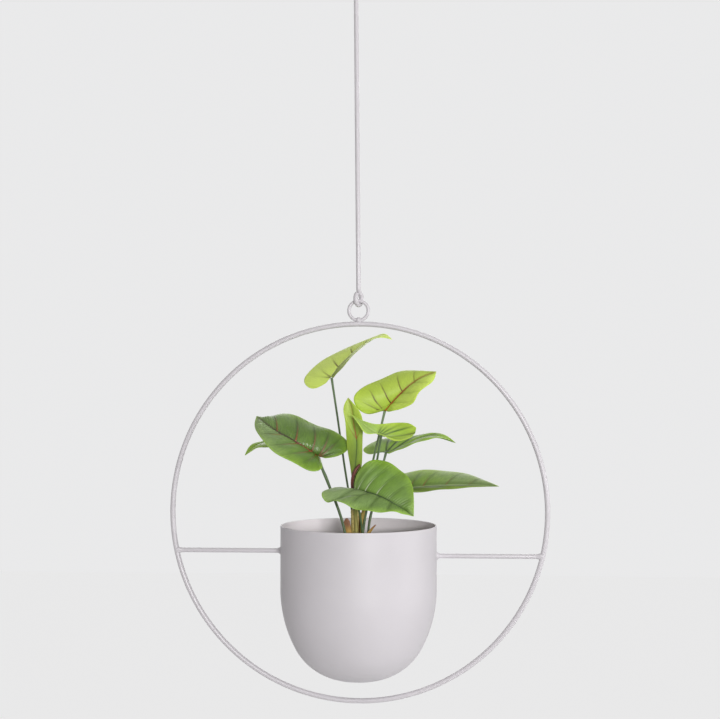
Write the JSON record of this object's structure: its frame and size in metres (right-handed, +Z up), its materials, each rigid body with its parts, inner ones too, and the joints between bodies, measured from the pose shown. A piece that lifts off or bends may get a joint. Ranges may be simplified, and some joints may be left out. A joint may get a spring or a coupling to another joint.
{
  "type": "hanging planter",
  "caption": "Bowl-bottomed metal planter pot held by wire arms inside a large wire hoop that hangs by an eyelet and rod from a ceiling hook, with a leafy potted plant.",
  "frame": {"origin": "middle of the ceiling plate's upper face, where it meets the ceiling", "axes": "+Z up into the ceiling, hoop in the XZ plane, -Y to the front"},
  "size_m": [0.3663, 0.15, 0.7715],
  "materials": {
    "powder_coat": "satin warm light grey powder coat",
    "ceiling_paint": "satin warm light grey powder coat",
    "nursery_plastic": "thin black blown plastic",
    "potting_soil": "loose damp potting soil",
    "stem": "olive ringed stem",
    "dry_stem": "dry brown stub",
    "dry_sheath": "papery dry sheath",
    "bract": "dark red leaf spear",
    "stalk": "smooth green leaf stalk",
    "leaf_pale": "soft yellow green leaf with red veins",
    "leaf_young": "fresh yellow green leaf with red veins",
    "leaf_middle": "satin mid green leaf with dark veins",
    "leaf_dark": "glossy puckered dark green leaf"
  },
  "bodies": {
    "ceiling_mount": {"ceiling_plate": "ceiling_paint", "ceiling_hook": "ceiling_paint"},
    "rod": {"hanging_rod": "powder_coat"},
    "hoop_frame": {"hoop": "powder_coat", "eyelet": "powder_coat", "left_arm": "powder_coat", "right_arm": "powder_coat", "planter_pot": "powder_coat"},
    "plant": {"nursery_pot": "nursery_plastic", "potting_soil": "potting_soil", "main_stem": "stem", "old_stem": "dry_stem", "left_sheath": "dry_sheath", "right_sheath": "dry_sheath", "bract": "bract", "stalk_top": "stalk", "stalk_upper_right": "stalk", "stalk_young": "stalk", "stalk_saddle": "stalk", "stalk_big_left": "stalk", "stalk_far_left": "stalk", "stalk_curled_right": "stalk", "stalk_long_right": "stalk", "stalk_front": "stalk", "leaf_top": "leaf_pale", "leaf_upper_right": "leaf_pale", "leaf_young": "leaf_young", "leaf_saddle": "leaf_middle", "leaf_big_left": "leaf_dark", "leaf_far_left": "leaf_dark", "leaf_curled_right": "leaf_dark", "leaf_long_right": "leaf_middle", "leaf_front": "leaf_middle"}
  },
  "joints": [
    {"name": "rod_swing", "type": "hinge", "parent": "ceiling_mount", "child": "rod", "pos_m": [0, 0, -0.042], "axis": [0.9136, -0.4067, 0], "range_deg": [-30, 30]},
    {"name": "hoop_swing", "type": "hinge", "parent": "rod", "child": "hoop_frame", "pos_m": [0, 0, -0.3946], "axis": [0, 1, 0], "range_deg": [-30, 30]},
    {"name": "plant_lift", "type": "slide", "parent": "hoop_frame", "child": "plant", "axis": [0, 0, 1], "range_m": [0, 0.125]}
  ]
}
